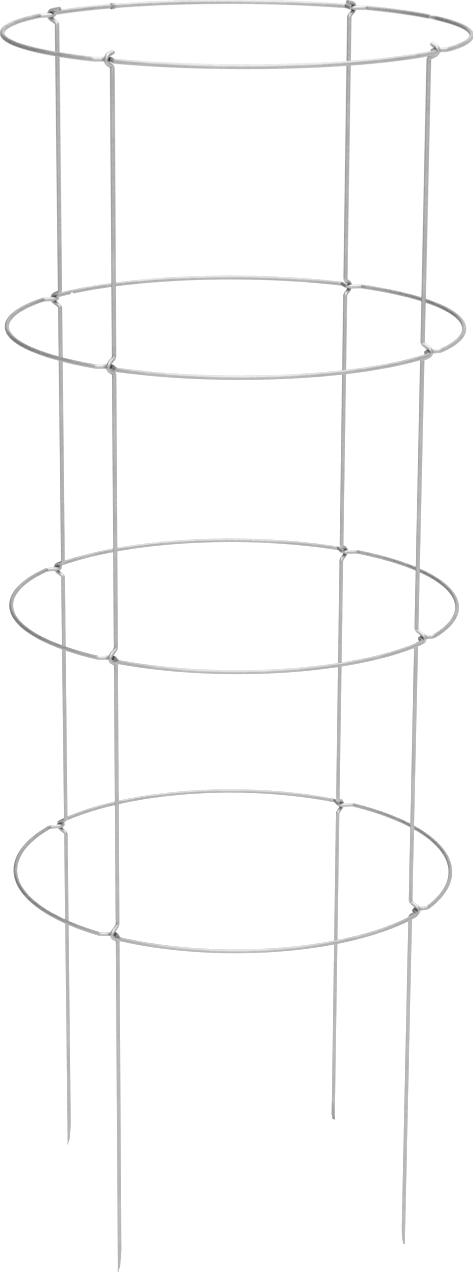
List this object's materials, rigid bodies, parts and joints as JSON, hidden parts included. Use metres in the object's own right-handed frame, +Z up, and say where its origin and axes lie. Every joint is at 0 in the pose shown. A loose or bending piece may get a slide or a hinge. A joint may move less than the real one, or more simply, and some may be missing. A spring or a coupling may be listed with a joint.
{
  "type": "tomato cage",
  "caption": "Round garden cage of galvanised wire: kinked rings hooked onto straight uprights whose pointed lower ends push into the soil, to hold up a tomato plant.",
  "frame": {"origin": "on the ground, in the middle of the four leg tips", "axes": "+Z up along the cage's axis; front towards -Y; the uprights stand on the diagonals between X and Y"},
  "size_m": [0.4614, 0.4614, 1.262],
  "materials": {
    "zinc_wire": "dull galvanised drawn steel wire, faint lengthwise drawing lines and soft zinc spangle",
    "zinc_sleeve": "galvanised crimped steel sleeve, a little darker than the wire"
  },
  "bodies": {
    "root": {"top_ring": "zinc_wire", "upper_ring": "zinc_wire", "lower_ring": "zinc_wire", "bottom_ring": "zinc_wire", "front_left_upright": "zinc_wire", "front_right_upright": "zinc_wire", "rear_right_upright": "zinc_wire", "rear_left_upright": "zinc_wire", "top_ring_sleeve": "zinc_sleeve"}
  },
  "joints": []
}
